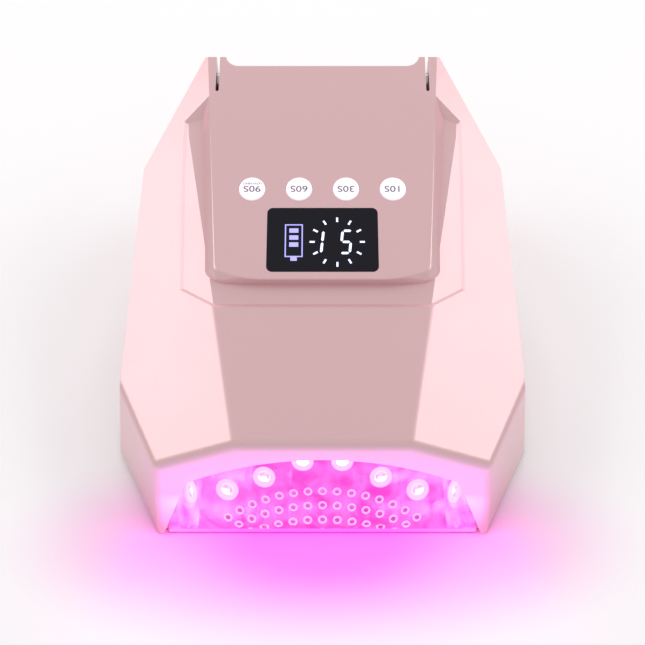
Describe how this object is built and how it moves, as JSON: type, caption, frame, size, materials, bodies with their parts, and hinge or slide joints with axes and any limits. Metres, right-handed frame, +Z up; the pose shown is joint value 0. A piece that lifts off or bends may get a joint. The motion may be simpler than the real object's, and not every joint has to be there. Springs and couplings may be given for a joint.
{
  "type": "uv led nail lamp",
  "caption": "Wedge-shaped UV LED nail curing lamp with a mirrored hand tunnel, timer buttons, a display, a slide-out tray and a folding carry handle.",
  "frame": {"origin": "on the table under the middle of the body's plan, at the bottom of the rubber feet", "axes": "+Z up; the hand opening faces -Y; +X is to the right of someone whose hand goes in"},
  "size_m": [0.211, 0.2328, 0.1261],
  "materials": {
    "casing": "satin pearl rose",
    "base": "moulded texture",
    "foot_rubber": "matte",
    "tray_mirror": "mirror finish",
    "reflector_metal": "vacuum metallised",
    "collar_white": "gloss",
    "emitter": "lit",
    "clear_lens": "clear",
    "lamp_board": "white solder mask",
    "window_black": "gloss",
    "module_black": "matte",
    "circuit_board": "solder mask",
    "button_white": "satin",
    "screw_steel": "plated",
    "plate_steel": "brushed",
    "cell_wrap": "heat-shrink sleeve",
    "strap": "woven",
    "component": "moulded",
    "socket_black": "satin",
    "contact_brass": "plated",
    "rocker_black": "gloss",
    "grip": "soft touch"
  },
  "bodies": {
    "lamp_body": {"upper_shell": "casing", "base_plate": "base", "feet": "foot_rubber", "reflector": "reflector_metal", "led_collars": "collar_white", "led_chips": "emitter", "led_lenses": "clear_lens", "led_board_top": "lamp_board", "led_board_left": "lamp_board", "led_board_right": "lamp_board", "display_window": "window_black", "display_module": "module_black", "control_board": "circuit_board", "tact_switches": "module_black", "buzzer": "module_black", "board_screws": "screw_steel", "battery_bracket": "plate_steel", "battery_cells": "cell_wrap", "battery_straps": "strap", "driver_board": "circuit_board", "driver_parts": "component", "driver_clips": "base", "dc_jack": "socket_black", "dc_pin": "contact_brass", "switch_body": "socket_black", "hand_sensor": "module_black", "hinge_pins": "screw_steel", "base_screws": "screw_steel", "bracket_screws": "screw_steel", "reflector_clips": "base"},
    "handle": {"handle_arm_right": "plate_steel", "handle_arm_left": "plate_steel", "handle_rod": "plate_steel", "handle_grip": "grip", "handle_screws": "screw_steel"},
    "mirror_tray": {"tray": "tray_mirror"},
    "key_90s": {"button_90s": "button_white"},
    "key_60s": {"button_60s": "button_white"},
    "key_30s": {"button_30s": "button_white"},
    "key_10s": {"button_10s": "button_white"},
    "rocker": {"power_rocker": "rocker_black"}
  },
  "joints": [
    {"name": "handle_fold", "type": "hinge", "parent": "lamp_body", "child": "handle", "pos_m": [0, 0.09335, 0.1158], "axis": [1, 0, 0], "range_deg": [0, 180]},
    {"name": "tray_slide", "type": "slide", "parent": "lamp_body", "child": "mirror_tray", "axis": [0, -1, 0], "range_m": [0, 0.16]},
    {"name": "rocker_tilt", "type": "hinge", "parent": "lamp_body", "child": "rocker", "pos_m": [-0.038, 0.11308, 0.02781], "axis": [0, -0.1219, 0.9925], "range_deg": [0, 16]},
    {"name": "press_90s", "type": "slide", "parent": "lamp_body", "child": "key_90s", "axis": [0, 0.284, -0.9588], "range_m": [0, 0.0006], "stiffness_N_per_m": 2500},
    {"name": "press_60s", "type": "slide", "parent": "lamp_body", "child": "key_60s", "axis": [0, 0.284, -0.9588], "range_m": [0, 0.0006], "stiffness_N_per_m": 2500},
    {"name": "press_30s", "type": "slide", "parent": "lamp_body", "child": "key_30s", "axis": [0, 0.284, -0.9588], "range_m": [0, 0.0006], "stiffness_N_per_m": 2500},
    {"name": "press_10s", "type": "slide", "parent": "lamp_body", "child": "key_10s", "axis": [0, 0.284, -0.9588], "range_m": [0, 0.0006], "stiffness_N_per_m": 2500}
  ]
}
